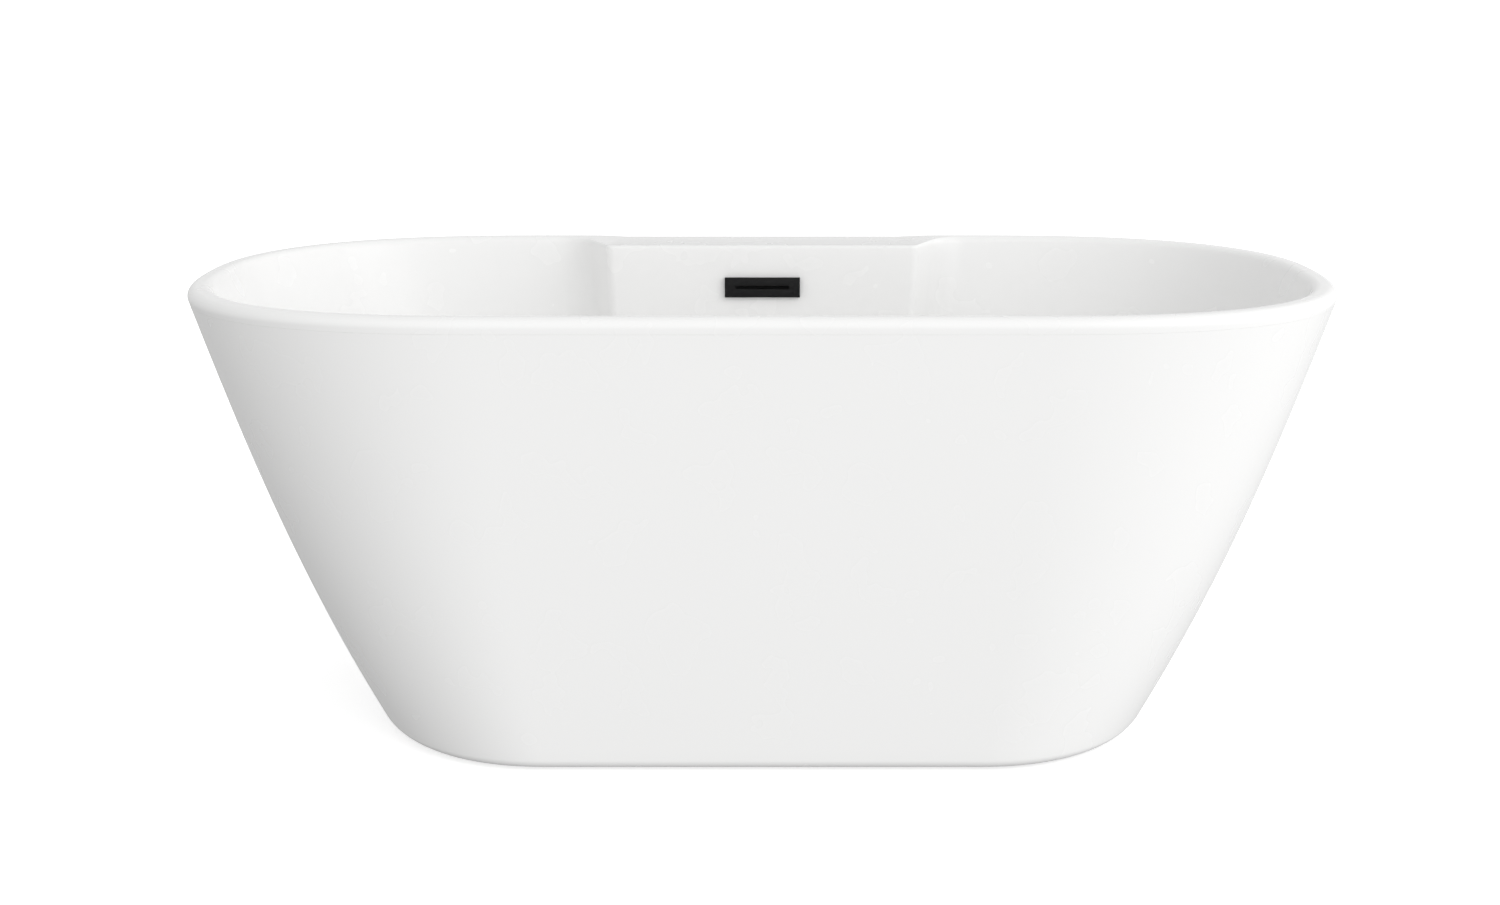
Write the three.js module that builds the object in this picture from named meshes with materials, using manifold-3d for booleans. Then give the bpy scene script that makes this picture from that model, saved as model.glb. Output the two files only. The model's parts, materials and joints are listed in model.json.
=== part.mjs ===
// A freestanding acrylic bathtub: a moulded basin and an outer skirt on a welded steel frame with
// four levelling feet, a press-up waste plug and a slot overflow joined to the waste by a pipe.
// Millimetres, +Z up, X along the tub, +Y towards the side with the overflow. The origin is on the
// floor under the middle of the tub.
import * as THREE from "three";
import { mergeVertices } from "three/addons/utils/BufferGeometryUtils.js";
import Module from "manifold-3d";

const wasm = await Module();
wasm.setup();

// Outer shell. Its plan outline is a straight-sided oval with superelliptic ends.
const tubHeight = 585;
const rimOutline = { halfLength: 750, halfWidth: 375, endReach: 429, power: 2.48 };
const footOutline = { halfLength: 520, halfWidth: 329, endReach: 249, power: 2.2 };
const skirtLift = 3; // the skirt's lower edge stands this far above the floor
const sideLean = 0.79; // share of the taper that is straight, the rest curves in near the floor
const sideCurve = 2.8;
const rimRadius = 12;
const rimWidth = 28;
const skirtEdgeRadius = 13;
const shellWall = 5;
const rimLipDrop = 7; // the basin's lip reaches this far below its outer rounding
const skirtTopFlange = 17;
const skirtFootFlange = 30;

// Basin
const basinFloor = 147;
const basinFloorOutline = { halfLength: 545, halfWidth: 268, endReach: 265, power: 2.25 };
const basinFloorRadius = 75;
const deckDepthTop = 87; // how far the deck stands in from the side wall, at the rim and the floor
const deckDepthFloor = 46;
const deckInnerTop = 217; // half width of the deck's flat face, at the rim and the floor
const deckInnerFloor = 195;
const deckCornerRadius = 14; // at the ends of the deck's face
const deckFilletRadius = 60; // where the deck's sides run into the tub's wall
const deckSideAngle = THREE.MathUtils.degToRad(62);
const deckSkinShift = 3; // the deck's ends shift this much from the inner face of the wall to the outer
const deckDip = 1.8; // the rim is this much lower along the deck

// Drain, under the floor beside the deck
const drainY = 85;
const drainPadRadius = 42;
const drainPadDrop = 3;
const drainHoleRadius = 26;

// Overflow, in the middle of the deck's face
const overflowZ = 523;
const coverSize = { width: 110, height: 29, depth: 7 };
const coverSlot = { width: 78, height: 5 };
const wallSlot = { width: 80, height: 12 };
const overflowScrewX = 46.5;
const screwShank = 1.75;
const screwHole = 2.2;
const pipeRadius = 14;
const pipeBore = 12;
const spigotRadius = 17;
const spigotBore = 14.4;
const pipeLevel = 78; // height of the pipe's lower run, under the rails
const inletReach = 40; // from the drain's middle to the mouth of its side inlet
const spigotGrip = 16; // how far the pipe goes up into the overflow's spigot
const inletGrip = 10; // how far it goes into the drain's side inlet

// Frame and feet
const boardSize = { length: 800, width: 330, thickness: 12, corner: 40 };
const tubeSize = 30;
const tubeWall = 2;
const railLength = 760;
const railY = 150;
const crossEndX = 300;
const crossMidX = 80;
const footX = 345;
const stemRadius = 5.7;
const threadGap = 0.4;
const stemTop = 116;
const nutHeight = 10;
const lockNutHeight = 6;
const nutAcrossFlats = 19;
const padRadius = 25;
const padHeight = 17.7;
const padFloor = 7; // bottom of the bore that the stem's pin turns in
const padBore = 5.3;
const collarAcrossFlats = 17;
const collarHeight = 5;
const bracketX = 220;
const bracketWidth = 25;
const bracketPlate = 3;
const bracketInset = 4; // from the bracket's toe to where the skirt's flange turns up
const boltRadius = 3;

const gap = 0.3; // clearance between pieces that touch
const edgeSteps = 4; // rings round a rounded edge
const filletSteps = 5;
const lipFoot = tubHeight - rimRadius - rimLipDrop;
const floorUnder = basinFloor - drainPadDrop - shellWall;
const boardTop = floorUnder - gap - 0.1;
const boardUnder = boardTop - boardSize.thickness;
const railTop = boardUnder - gap;
const railUnder = railTop - tubeSize;

const acrylic = { color: 0xf6f6f4, roughness: 0.14, metalness: 0 };
const laminate = { color: 0xc9c4b4, roughness: 0.8, metalness: 0 };
const zincSteel = { color: 0xa9adb0, roughness: 0.45, metalness: 0.9 };
const paintedSteel = { color: 0x2e3133, roughness: 0.55, metalness: 0.2 };
const blackPlastic = { color: 0x1c1c1d, roughness: 0.5, metalness: 0 };
const greyPlastic = { color: 0x8d9092, roughness: 0.55, metalness: 0 };
const blackMetal = { color: 0x19191a, roughness: 0.45, metalness: 0.3 };
const blackRubber = { color: 0x222222, roughness: 0.85, metalness: 0 };
const brass = { color: 0xb79a55, roughness: 0.35, metalness: 1 };

const tub = new THREE.Group();

function addPiece(name, geometry, look, parent = tub) {
  const mesh = new THREE.Mesh(geometry, new THREE.MeshStandardMaterial(look));
  mesh.name = name;
  parent.add(mesh);
  return mesh;
}

// A closed geometry as a solid that can be joined and cut.
function solidOf(geometry) {
  const plain = geometry.clone();
  plain.deleteAttribute("normal");
  plain.deleteAttribute("uv");
  const merged = mergeVertices(plain, 1e-4);
  const vertProperties = new Float32Array(merged.attributes.position.array);
  const triVerts = new Uint32Array(merged.index.array);
  return new wasm.Manifold(new wasm.Mesh({ numProp: 3, vertProperties, triVerts }));
}

function geometryOf(solid) {
  const mesh = solid.getMesh();
  const geometry = new THREE.BufferGeometry();
  geometry.setAttribute("position", new THREE.BufferAttribute(mesh.vertProperties, 3));
  geometry.setIndex(new THREE.BufferAttribute(mesh.triVerts, 1));
  geometry.computeVertexNormals();
  return geometry;
}

function cutFrom(geometry, cutters) {
  const solid = cutters.map(solidOf).reduce((left, cutter) => left.subtract(cutter), solidOf(geometry));
  return geometryOf(solid);
}

function joinAll(geometries) {
  const solids = geometries.map(solidOf);
  return geometryOf(solids.reduce((whole, solid) => whole.add(solid)));
}

function boxAt(width, depth, height, x, y, z) {
  return new THREE.BoxGeometry(width, depth, height).translate(x, y, z);
}

// An upright cylinder from one height to another.
function post(radius, low, high, sides = 20) {
  const geometry = new THREE.CylinderGeometry(radius, radius, high - low, sides);
  return geometry.rotateX(Math.PI / 2).translate(0, 0, (low + high) / 2);
}

// A cylinder lying along Y from one place to another.
function rod(radius, from, to, sides = 16) {
  const geometry = new THREE.CylinderGeometry(radius, radius, to - from, sides);
  return geometry.translate(0, (from + to) / 2, 0);
}

// A turned piece about Z from [radius, height] points that run counter-clockwise round its section.
function turned(points, sides = 24) {
  const profile = points.map(([radius, height]) => new THREE.Vector2(radius, height));
  if (points[0][0] > 0) profile.push(profile[0].clone());
  return new THREE.LatheGeometry(profile, sides).rotateX(Math.PI / 2);
}

function washerRing(inner, outer, low, high, sides = 24) {
  return turned([[inner, low], [outer, low], [outer, high], [inner, high]], sides);
}

function circlePath(radius) {
  return new THREE.Path().absarc(0, 0, radius, 0, Math.PI * 2, true);
}

function hexNut(acrossFlats, bore, low, high) {
  const shape = new THREE.Shape();
  const corner = acrossFlats / Math.sqrt(3);
  for (let side = 0; side < 6; side += 1) {
    const angle = (side * Math.PI) / 3;
    const x = corner * Math.cos(angle);
    const y = corner * Math.sin(angle);
    if (side === 0) shape.moveTo(x, y);
    else shape.lineTo(x, y);
  }
  if (bore > 0) shape.holes.push(circlePath(bore));
  const options = { depth: high - low, bevelEnabled: false, curveSegments: 9 };
  return new THREE.ExtrudeGeometry(shape, options).translate(0, 0, low);
}

function roundedRectangle(width, height, radius) {
  const x = width / 2 - radius;
  const y = height / 2 - radius;
  const shape = new THREE.Shape();
  shape.absarc(x, y, radius, 0, Math.PI / 2);
  shape.absarc(-x, y, radius, Math.PI / 2, Math.PI);
  shape.absarc(-x, -y, radius, Math.PI, Math.PI * 1.5);
  shape.absarc(x, -y, radius, Math.PI * 1.5, Math.PI * 2);
  return shape;
}

// Outlines of the shells

function mixOutlines(top, foot, taper, depth) {
  return {
    halfLength: THREE.MathUtils.lerp(top.halfLength, foot.halfLength, taper),
    halfWidth: THREE.MathUtils.lerp(top.halfWidth, foot.halfWidth, taper),
    endReach: THREE.MathUtils.lerp(top.endReach, foot.endReach, depth),
    power: THREE.MathUtils.lerp(top.power, foot.power, depth),
  };
}

function inset(outline, distance) {
  return {
    halfLength: outline.halfLength - distance,
    halfWidth: outline.halfWidth - distance,
    endReach: outline.endReach - distance,
    power: outline.power,
  };
}

function shellOutline(z) {
  const depth = (tubHeight - rimRadius - z) / (tubHeight - rimRadius - skirtLift);
  const curve = Math.sign(depth) * Math.abs(depth) ** sideCurve;
  const taper = sideLean * depth + (1 - sideLean) * curve;
  return mixOutlines(rimOutline, footOutline, taper, depth);
}

const basinRimOutline = inset(rimOutline, rimWidth);

function basinDepth(z) {
  return (tubHeight - z) / (tubHeight - basinFloor);
}

function basinOutline(z) {
  const depth = basinDepth(z);
  return mixOutlines(basinRimOutline, basinFloorOutline, depth, depth);
}

// How far the deck stands in from the side wall at a height, and where its curve starts and ends.
function deckAt(z, skin = 0) {
  const depth = basinDepth(z);
  const inner = THREE.MathUtils.lerp(deckInnerTop, deckInnerFloor, depth);
  return {
    reach: THREE.MathUtils.lerp(deckDepthTop, deckDepthFloor, depth),
    inner: inner - (skin * deckSkinShift) / shellWall,
  };
}

// Along the deck's side: a rounded corner, a straight slope and a wide fillet into the tub's wall.
// Gives how far along the tub a share of it reaches, and how far it has fallen back.
function deckSide(reach, share) {
  const sin = Math.sin(deckSideAngle);
  const cos = Math.cos(deckSideAngle);
  const tan = Math.tan(deckSideAngle);
  const bothRadii = deckCornerRadius + deckFilletRadius;
  const length = bothRadii * sin + (reach - bothRadii * (1 - cos)) / tan;
  const run = length * share;
  const left = length - run;
  if (run < deckCornerRadius * sin) {
    return { run, fall: deckCornerRadius - Math.sqrt(deckCornerRadius ** 2 - run ** 2) };
  }
  if (left > deckFilletRadius * sin) {
    return { run, fall: deckCornerRadius * (1 - cos) + (run - deckCornerRadius * sin) * tan };
  }
  return { run, fall: reach - deckFilletRadius + Math.sqrt(deckFilletRadius ** 2 - left ** 2) };
}

// The places round an outline, counter-clockwise: each end by angle, the back by its share of the
// deck, the front by its share of the straight side.
const endSteps = 8;
const blendSteps = 8;
const frontSteps = 4;
const deckFlatShares = [1, 0.6, 0.35, 0.18];

function endStations(sign) {
  const stations = [];
  for (let step = -endSteps; step <= endSteps; step += 1) {
    stations.push({ end: sign, angle: (sign * step * Math.PI) / (endSteps * 2) });
  }
  return stations;
}

function deckStations() {
  const half = [];
  for (let step = blendSteps; step > 0; step -= 1) half.push({ flat: 1, blend: step / blendSteps });
  for (const flat of deckFlatShares) half.push({ flat, blend: 0 });
  const right = half.map((share) => ({ ...share, sign: 1 }));
  const left = half.map((share) => ({ ...share, sign: -1 })).reverse();
  return [...right, { flat: 0, blend: 0, sign: 1 }, ...left];
}

function frontStations() {
  const stations = [];
  for (let step = 1; step < frontSteps; step += 1) {
    stations.push({ front: (2 * step) / frontSteps - 1 });
  }
  return stations;
}

const rightEnd = endStations(1);
const leftEnd = endStations(-1);
const basinStations = [...rightEnd, ...deckStations(), ...leftEnd, ...frontStations()];
const skirtStations = [...rightEnd, ...leftEnd];

// 1 on the deck's flat face, falling to 0 where its side meets the tub's wall.
function deckShare(station) {
  if (station.blend === undefined) return 0;
  return 1 - deckSide(deckDepthTop, station.blend).fall / deckDepthTop;
}

function outlinePoint(station, outline, deck) {
  const straight = outline.halfLength - outline.endReach;
  if (station.front !== undefined) return [station.front * straight, -outline.halfWidth];
  if (station.blend !== undefined) {
    const { run, fall } = deckSide(Math.max(deck.reach, deckDepthFloor), station.blend);
    const x = station.sign * (deck.inner * station.flat + run);
    return [x, outline.halfWidth - (deck.reach > 0 ? deck.reach - fall : 0)];
  }
  const sin = Math.sin(station.angle);
  const bend = 2 / outline.power;
  const x = station.end * (straight + outline.endReach * Math.abs(Math.cos(station.angle)) ** bend);
  return [x, Math.sign(sin) * outline.halfWidth * Math.abs(sin) ** bend];
}

// A closed skin over rings of points, joined round each ring and from the last ring to the first.
function loft(rings) {
  const around = rings[0].length;
  const index = [];
  rings.forEach((ring, row) => {
    const nextRow = (row + 1) % rings.length;
    for (let column = 0; column < around; column += 1) {
      const nextColumn = (column + 1) % around;
      const a = row * around + column;
      const b = row * around + nextColumn;
      const c = nextRow * around + nextColumn;
      const d = nextRow * around + column;
      index.push(a, b, c, a, c, d);
    }
  });
  const geometry = new THREE.BufferGeometry();
  geometry.setAttribute("position", new THREE.Float32BufferAttribute(rings.flat(2), 3));
  geometry.setIndex(index);
  geometry.computeVertexNormals();
  return geometry;
}

const noDeck = { reach: 0, inner: deckInnerTop };

function levels(from, to, count) {
  return Array.from({ length: count }, (_, step) => from + ((to - from) * step) / (count - 1));
}

// Basin

function rimRing(insetBy, z, dipShare) {
  const outline = inset(rimOutline, insetBy);
  return basinStations.map((station) => {
    const [x, y] = outlinePoint(station, outline, noDeck);
    return [x, y, z - deckDip * deckShare(station) * dipShare];
  });
}

// A ring at the foot of the basin's lip, which stands flush with the skirt below it.
function lipRing(insetBy) {
  const outline = inset(shellOutline(lipFoot), insetBy);
  return basinStations.map((station) => [...outlinePoint(station, outline, noDeck), lipFoot]);
}

// A ring of the basin's wall, drawn in by an inset and set back by the wall's own thickness.
function wallRing(z, insetBy, skin, dipShare = 0, heightOf = z) {
  const outline = inset(basinOutline(heightOf), insetBy - skin);
  const deck = deckAt(heightOf, skin);
  return basinStations.map((station) => {
    const [x, y] = outlinePoint(station, outline, deck);
    return [x, y, z - deckDip * deckShare(station) * dipShare];
  });
}

function roundOverRings(radius, insetOf, topZ) {
  return levels(0, Math.PI / 2, edgeSteps)
    .slice(1)
    .map((angle) => {
      const run = radius * (1 - Math.cos(angle));
      const drop = radius * (1 - Math.sin(angle));
      return rimRing(insetOf(run), topZ - drop, Math.sin(angle));
    });
}

function innerEdgeRings() {
  return levels(0, Math.PI / 2, edgeSteps).map((angle) => {
    const z = tubHeight - rimRadius * (1 - Math.cos(angle));
    return wallRing(z, -rimRadius * (1 - Math.sin(angle)), 0, Math.cos(angle), tubHeight - rimRadius);
  });
}

function filletRings(skin) {
  const radius = basinFloorRadius + skin;
  const centre = basinFloor + basinFloorRadius;
  return levels(0, Math.PI / 2, filletSteps)
    .slice(1)
    .map((angle) => {
      const z = centre - radius * Math.sin(angle);
      return wallRing(z, radius * (1 - Math.cos(angle)), skin, 0, Math.max(z, basinFloor));
    });
}

// The bearing from the drain to each station of the floor's edge, with the deck left out.
const drainBearings = basinStations.map((station) => {
  const edge = inset(basinFloorOutline, basinFloorRadius);
  const [x, y] = outlinePoint(station, edge, { ...deckAt(basinFloor), reach: 0 });
  return Math.atan2(y - drainY, x);
});

function drainRing(radius, z) {
  return drainBearings.map((bearing) => {
    const x = radius * Math.cos(bearing);
    const y = drainY + radius * Math.sin(bearing);
    return [x, y, z];
  });
}

function between(first, second) {
  return first.map((point, at) => point.map((value, axis) => (value + second[at][axis]) / 2));
}

function floorRings(edge, padZ) {
  const pad = drainRing(drainPadRadius, padZ);
  return [between(edge, pad), pad, drainRing(drainHoleRadius, padZ)];
}

function basinShell() {
  const wallZs = levels(tubHeight - rimRadius, basinFloor + basinFloorRadius, 4);
  const inside = wallZs.slice(1).map((z) => wallRing(z, 0, 0));
  const insideFillet = filletRings(0);
  const insideFloor = floorRings(insideFillet.at(-1), basinFloor - drainPadDrop);
  const underFillet = filletRings(shellWall);
  const underFloor = floorRings(underFillet.at(-1), floorUnder);
  const outside = wallZs.map((z) => wallRing(z, 0, shellWall));
  const rimUnder = tubHeight - shellWall;
  return loft([
    lipRing(0),
    rimRing(0, tubHeight - rimRadius, 0),
    ...roundOverRings(rimRadius, (run) => run, tubHeight),
    ...innerEdgeRings(),
    ...inside,
    ...insideFillet,
    ...insideFloor,
    ...underFloor.reverse(),
    ...underFillet.reverse(),
    ...outside.reverse(),
    wallRing(rimUnder, 0, shellWall, 1, tubHeight - rimRadius),
    ...roundOverRings(rimRadius - shellWall, (run) => shellWall + run, rimUnder).reverse(),
    lipRing(shellWall),
  ]);
}

// The deck's face leans back; the overflow's pieces sit square on it.
const faceLean = Math.atan(
  (rimOutline.halfWidth - rimWidth - deckDepthTop - (basinFloorOutline.halfWidth - deckDepthFloor)) /
    (tubHeight - basinFloor),
);

function deckFaceY(z) {
  return basinOutline(z).halfWidth - deckAt(z).reach;
}

const overflowGroup = new THREE.Group();
overflowGroup.position.set(0, deckFaceY(overflowZ), overflowZ);
overflowGroup.rotation.x = -faceLean;
overflowGroup.updateMatrix();
tub.add(overflowGroup);

// Rods that cut the pair of holes for the overflow's screws.
function screwHoles(radius, from, to) {
  return [-1, 1].map((side) => rod(radius, from, to).translate(side * overflowScrewX, 0, 0));
}

function wallCutters() {
  const slot = new THREE.BoxGeometry(wallSlot.width, 4 * shellWall, wallSlot.height);
  const reach = 2 * shellWall;
  const holes = screwHoles(screwHole + 0.4, -reach, reach);
  return [slot, ...holes].map((cutter) => cutter.applyMatrix4(overflowGroup.matrix));
}

function addBasin() {
  addPiece("basin", cutFrom(basinShell(), wallCutters()), acrylic);
}

// Skirt

function skirtRing(insetBy, z, heightOf = z) {
  const outline = inset(shellOutline(heightOf), insetBy);
  return skirtStations.map((station) => [...outlinePoint(station, outline, noDeck), z]);
}

function skirtFootRings(radius, insetOf) {
  const centre = skirtLift + skirtEdgeRadius;
  return levels(0, Math.PI / 2, filletSteps).map((angle) =>
    skirtRing(insetOf(radius * (1 - Math.cos(angle))), centre - radius * Math.sin(angle)),
  );
}

function skirtShell() {
  const top = lipFoot - gap;
  const foot = skirtLift + skirtEdgeRadius;
  const footInside = skirtLift + shellWall;
  const zs = levels(foot, top, 6);
  const inner = levels(foot, top - shellWall, 6);
  return loft([
    skirtRing(skirtFootFlange, footInside),
    skirtRing(skirtFootFlange, skirtLift),
    ...skirtFootRings(skirtEdgeRadius, (run) => run).reverse(),
    ...zs.slice(1).map((z) => skirtRing(0, z)),
    skirtRing(skirtTopFlange, top),
    skirtRing(skirtTopFlange, top - shellWall),
    ...inner.reverse().map((z) => skirtRing(shellWall, z)),
    ...skirtFootRings(skirtEdgeRadius - shellWall, (run) => shellWall + run).slice(1),
  ]);
}

// Frame

function baseBoard() {
  const shape = roundedRectangle(boardSize.length, boardSize.width, boardSize.corner);
  const drainHole = new THREE.Path().absarc(0, drainY, drainPadRadius + 4, 0, Math.PI * 2, true);
  shape.holes.push(drainHole);
  const options = { depth: boardSize.thickness, bevelEnabled: false, curveSegments: 8 };
  return new THREE.ExtrudeGeometry(shape, options).translate(0, 0, boardUnder);
}

function squareCorners(half) {
  const corners = [[-half, -half], [half, -half], [half, half], [-half, half]];
  return corners.map(([x, y]) => new THREE.Vector2(x, y));
}

// A square tube along Z with its middle at the origin.
function boxTube(length) {
  const shape = new THREE.Shape(squareCorners(tubeSize / 2));
  shape.holes.push(new THREE.Path(squareCorners(tubeSize / 2 - tubeWall).reverse()));
  const tube = new THREE.ExtrudeGeometry(shape, { depth: length, bevelEnabled: false });
  return tube.translate(0, 0, -length / 2);
}

const tubeMiddle = railUnder + tubeSize / 2;

function rail(side) {
  const tube = boxTube(railLength).rotateY(Math.PI / 2).translate(0, side * railY, tubeMiddle);
  const stemHoles = [-1, 1].map((end) =>
    post(stemRadius + 1, railUnder - 2, railUnder + 4).translate(end * footX, side * railY, 0),
  );
  const outerFace = side * (railY + tubeSize / 2);
  const boltHoles = [-1, 1].map((end) =>
    rod(boltRadius + threadGap, -4, 4).translate(end * bracketX, outerFace, tubeMiddle),
  );
  return cutFrom(tube, [...stemHoles, ...boltHoles]);
}

function crossTube(x) {
  const length = 2 * railY - tubeSize - 2 * gap;
  return boxTube(length).rotateX(Math.PI / 2).translate(x, 0, tubeMiddle);
}

function railCap(end, side) {
  const plugSize = tubeSize - 2 * tubeWall - 2 * gap;
  const plateDepth = 3;
  const plugReach = 12;
  const plate = boxAt(plateDepth, tubeSize, tubeSize, plateDepth / 2, 0, 0);
  const plug = boxAt(plugReach + 0.5, plugSize, plugSize, (0.5 - plugReach) / 2, 0, 0);
  const cap = joinAll([plate, plug]);
  cap.translate(railLength / 2 + gap, 0, 0);
  if (end < 0) cap.rotateZ(Math.PI);
  return cap.translate(0, side * railY, tubeMiddle);
}

function skirtBracket(side) {
  const inner = railY + tubeSize / 2 + gap;
  const outer = footOutline.halfWidth - skirtEdgeRadius - bracketInset;
  const low = skirtLift + shellWall + gap;
  const high = tubeMiddle + 10;
  const shape = new THREE.Shape();
  shape.moveTo(inner, low);
  shape.lineTo(outer, low);
  shape.lineTo(outer, low + bracketPlate);
  shape.lineTo(inner + bracketPlate, low + bracketPlate);
  shape.lineTo(inner + bracketPlate, high);
  shape.lineTo(inner, high);
  const strip = new THREE.ExtrudeGeometry(shape, { depth: bracketWidth, bevelEnabled: false });
  strip.translate(0, 0, -bracketWidth / 2).rotateX(Math.PI / 2).rotateZ(Math.PI / 2);
  const hole = rod(boltRadius + threadGap, inner - 5, inner + 10).translate(0, 0, tubeMiddle);
  const bracket = cutFrom(strip, [hole]);
  return side < 0 ? bracket.rotateZ(Math.PI) : bracket;
}

function bracketBolt(side) {
  const shankReach = 16;
  const headHeight = 4;
  const headAcrossFlats = 10;
  const face = railY + tubeSize / 2 + bracketPlate + 2 * gap;
  const shank = rod(boltRadius, face - shankReach, face + 1);
  const head = hexNut(headAcrossFlats, 0, face, face + headHeight).rotateX(-Math.PI / 2);
  const bolt = joinAll([shank, head]);
  return side < 0 ? bolt.rotateZ(Math.PI) : bolt;
}

function addFrame() {
  addPiece("base_board", baseBoard(), laminate);
  const sides = { front: -1, back: 1 };
  const ends = { left: -1, right: 1 };
  for (const [sideName, side] of Object.entries(sides)) {
    addPiece("rail_" + sideName, rail(side), paintedSteel);
    for (const [endName, end] of Object.entries(ends)) {
      const corner = sideName + "_" + endName;
      addPiece("rail_cap_" + corner, railCap(end, side), blackPlastic);
      const bracket = skirtBracket(side).translate(end * bracketX, 0, 0);
      addPiece("skirt_bracket_" + corner, bracket, zincSteel);
      const bolt = bracketBolt(side).translate(end * bracketX, 0, tubeMiddle);
      addPiece("bracket_bolt_" + corner, bolt, zincSteel);
    }
  }
  for (const [endName, end] of Object.entries(ends)) {
    addPiece("cross_end_" + endName, crossTube(end * crossEndX), paintedSteel);
    addPiece("cross_middle_" + endName, crossTube(end * crossMidX), paintedSteel);
  }
}

// Levelling feet

function footPad() {
  const hub = 12;
  const rimHeight = 4;
  return turned([
    [0, 0],
    [padRadius, 0],
    [padRadius, rimHeight],
    [padRadius - 2, padFloor],
    [hub + 1, padFloor + 2],
    [hub, padHeight],
    [padBore, padHeight],
    [padBore, padFloor],
    [0, padFloor],
  ]);
}

function footStem() {
  const collarFoot = padHeight + gap;
  const pin = post(padBore - gap, padFloor + gap, collarFoot + 1);
  const collar = hexNut(collarAcrossFlats, 0, collarFoot, collarFoot + collarHeight);
  const shank = post(stemRadius, collarFoot + 1, stemTop, 24);
  return joinAll([pin, collar, shank]);
}

function addFeet() {
  const bore = stemRadius + threadGap;
  const nutTop = railUnder - gap;
  const lockTop = nutTop - nutHeight - gap;
  for (const [sideName, side] of [["front", -1], ["back", 1]]) {
    for (const [endName, end] of [["left", -1], ["right", 1]]) {
      const corner = sideName + "_" + endName;
      const foot = new THREE.Group();
      foot.position.set(end * footX, side * railY, 0);
      tub.add(foot);
      const weldNut = hexNut(nutAcrossFlats, bore, nutTop - nutHeight, nutTop);
      addPiece("foot_nut_" + corner, weldNut, zincSteel, foot);
      const lockNut = hexNut(nutAcrossFlats, bore, lockTop - lockNutHeight, lockTop);
      addPiece("foot_lock_nut_" + corner, lockNut, zincSteel, foot);
      addPiece("foot_stem_" + corner, footStem(), zincSteel, foot);
      addPiece("foot_pad_" + corner, footPad(), blackRubber, foot);
    }
  }
}

// Waste

const padZ = basinFloor - drainPadDrop;
const flangeRadius = 34;
const flangeHeight = 2.8;
const gasketHeight = 3;
const flangeBodyRadius = 24;
const flangeBore = 21;
const flangeFoot = 118;
const spiderTop = 126;
const spiderHeight = 5;
const sleeveRadius = 7;
const sleeveBore = 5.3;
const sleeveFoot = 110;
const sleeveTop = 141.5;
const sleeveFloor = sleeveFoot + 3;
const plungerFoot = 122;
const sealLow = padZ + 3.6;
const capLow = sealLow + 2.4;
const capRadius = 31.5;
const capSocket = 3.4; // the cap's socket over the plunger's tip
const capBossDrop = 4.6;
const wasteBore = 25;
const wasteRadius = 29;
const outletRadius = 20;
const outletBore = 17;
const outletFoot = 48;
const shoeFlangeRadius = 36;
const tailpieceFoot = 12;
const tailpieceTop = 60;
const tailpieceWall = 1.8;

function drainFlange() {
  const low = padZ + gap;
  const body = turned([
    [flangeBore, flangeFoot],
    [flangeBodyRadius, flangeFoot],
    [flangeBodyRadius, low],
    [flangeRadius, low],
    [flangeRadius, low + flangeHeight / 2],
    [flangeRadius - 1.6, low + flangeHeight],
    [flangeBodyRadius + 3, low + flangeHeight],
    [flangeBore, low + 0.4],
  ]);
  const armZ = spiderTop - spiderHeight / 2;
  const armLength = 2 * flangeBore + 2;
  const armWidth = 4;
  const hubRadius = 11;
  const arms = [
    boxAt(armLength, armWidth, spiderHeight, 0, 0, armZ),
    boxAt(armWidth, armLength, spiderHeight, 0, 0, armZ),
  ];
  const hub = post(hubRadius, spiderTop - spiderHeight, spiderTop);
  const hole = post(sleeveRadius + gap, spiderTop - 2 * spiderHeight, spiderTop + spiderHeight);
  return cutFrom(joinAll([body, ...arms, hub]), [hole]);
}

function plugSleeve() {
  const collar = spiderTop + gap;
  const collarRadius = sleeveRadius + 2;
  const collarTop = collar + 2.5;
  return turned([
    [0, sleeveFoot],
    [sleeveRadius, sleeveFoot],
    [sleeveRadius, collar],
    [collarRadius, collar],
    [collarRadius, collarTop],
    [sleeveRadius, collarTop],
    [sleeveRadius, sleeveTop],
    [sleeveBore, sleeveTop],
    [sleeveBore, sleeveFloor],
    [0, sleeveFloor],
  ]);
}

function plugPlunger() {
  const radius = sleeveBore - gap;
  const tip = capSocket - gap - 0.1;
  const shoulder = capLow - capBossDrop - 0.4;
  const top = capLow - 0.8;
  return turned([
    [0, plungerFoot],
    [radius, plungerFoot],
    [radius, shoulder],
    [tip, shoulder],
    [tip, top],
    [0, top],
  ], 20);
}

function plugSpring() {
  const turns = 4;
  const wire = 0.55;
  const radius = 4;
  const low = sleeveFloor + 1;
  const rise = plungerFoot - 1 - low;
  const points = levels(0, 1, turns * 10 + 1).map((share) => {
    const angle = share * turns * Math.PI * 2;
    return new THREE.Vector3(radius * Math.cos(angle), radius * Math.sin(angle), low + rise * share);
  });
  const section = new THREE.Shape().absarc(0, 0, wire, 0, Math.PI * 2);
  const extrudePath = new THREE.CatmullRomCurve3(points);
  const options = { steps: turns * 12, curveSegments: 3, bevelEnabled: false, extrudePath };
  return new THREE.ExtrudeGeometry(section, options);
}

function plugCap() {
  const boss = 6.5;
  const bossFoot = capLow - capBossDrop;
  return turned([
    [capSocket, bossFoot],
    [boss, bossFoot],
    [boss, capLow],
    [capRadius - 1, capLow],
    [capRadius, capLow + 0.8],
    [capRadius - 1.5, capLow + 2.4],
    [20, capLow + 3.2],
    [0, capLow + 3.6],
    [0, capLow - 0.4],
    [capSocket, capLow - 0.4],
  ], 28);
}

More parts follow.
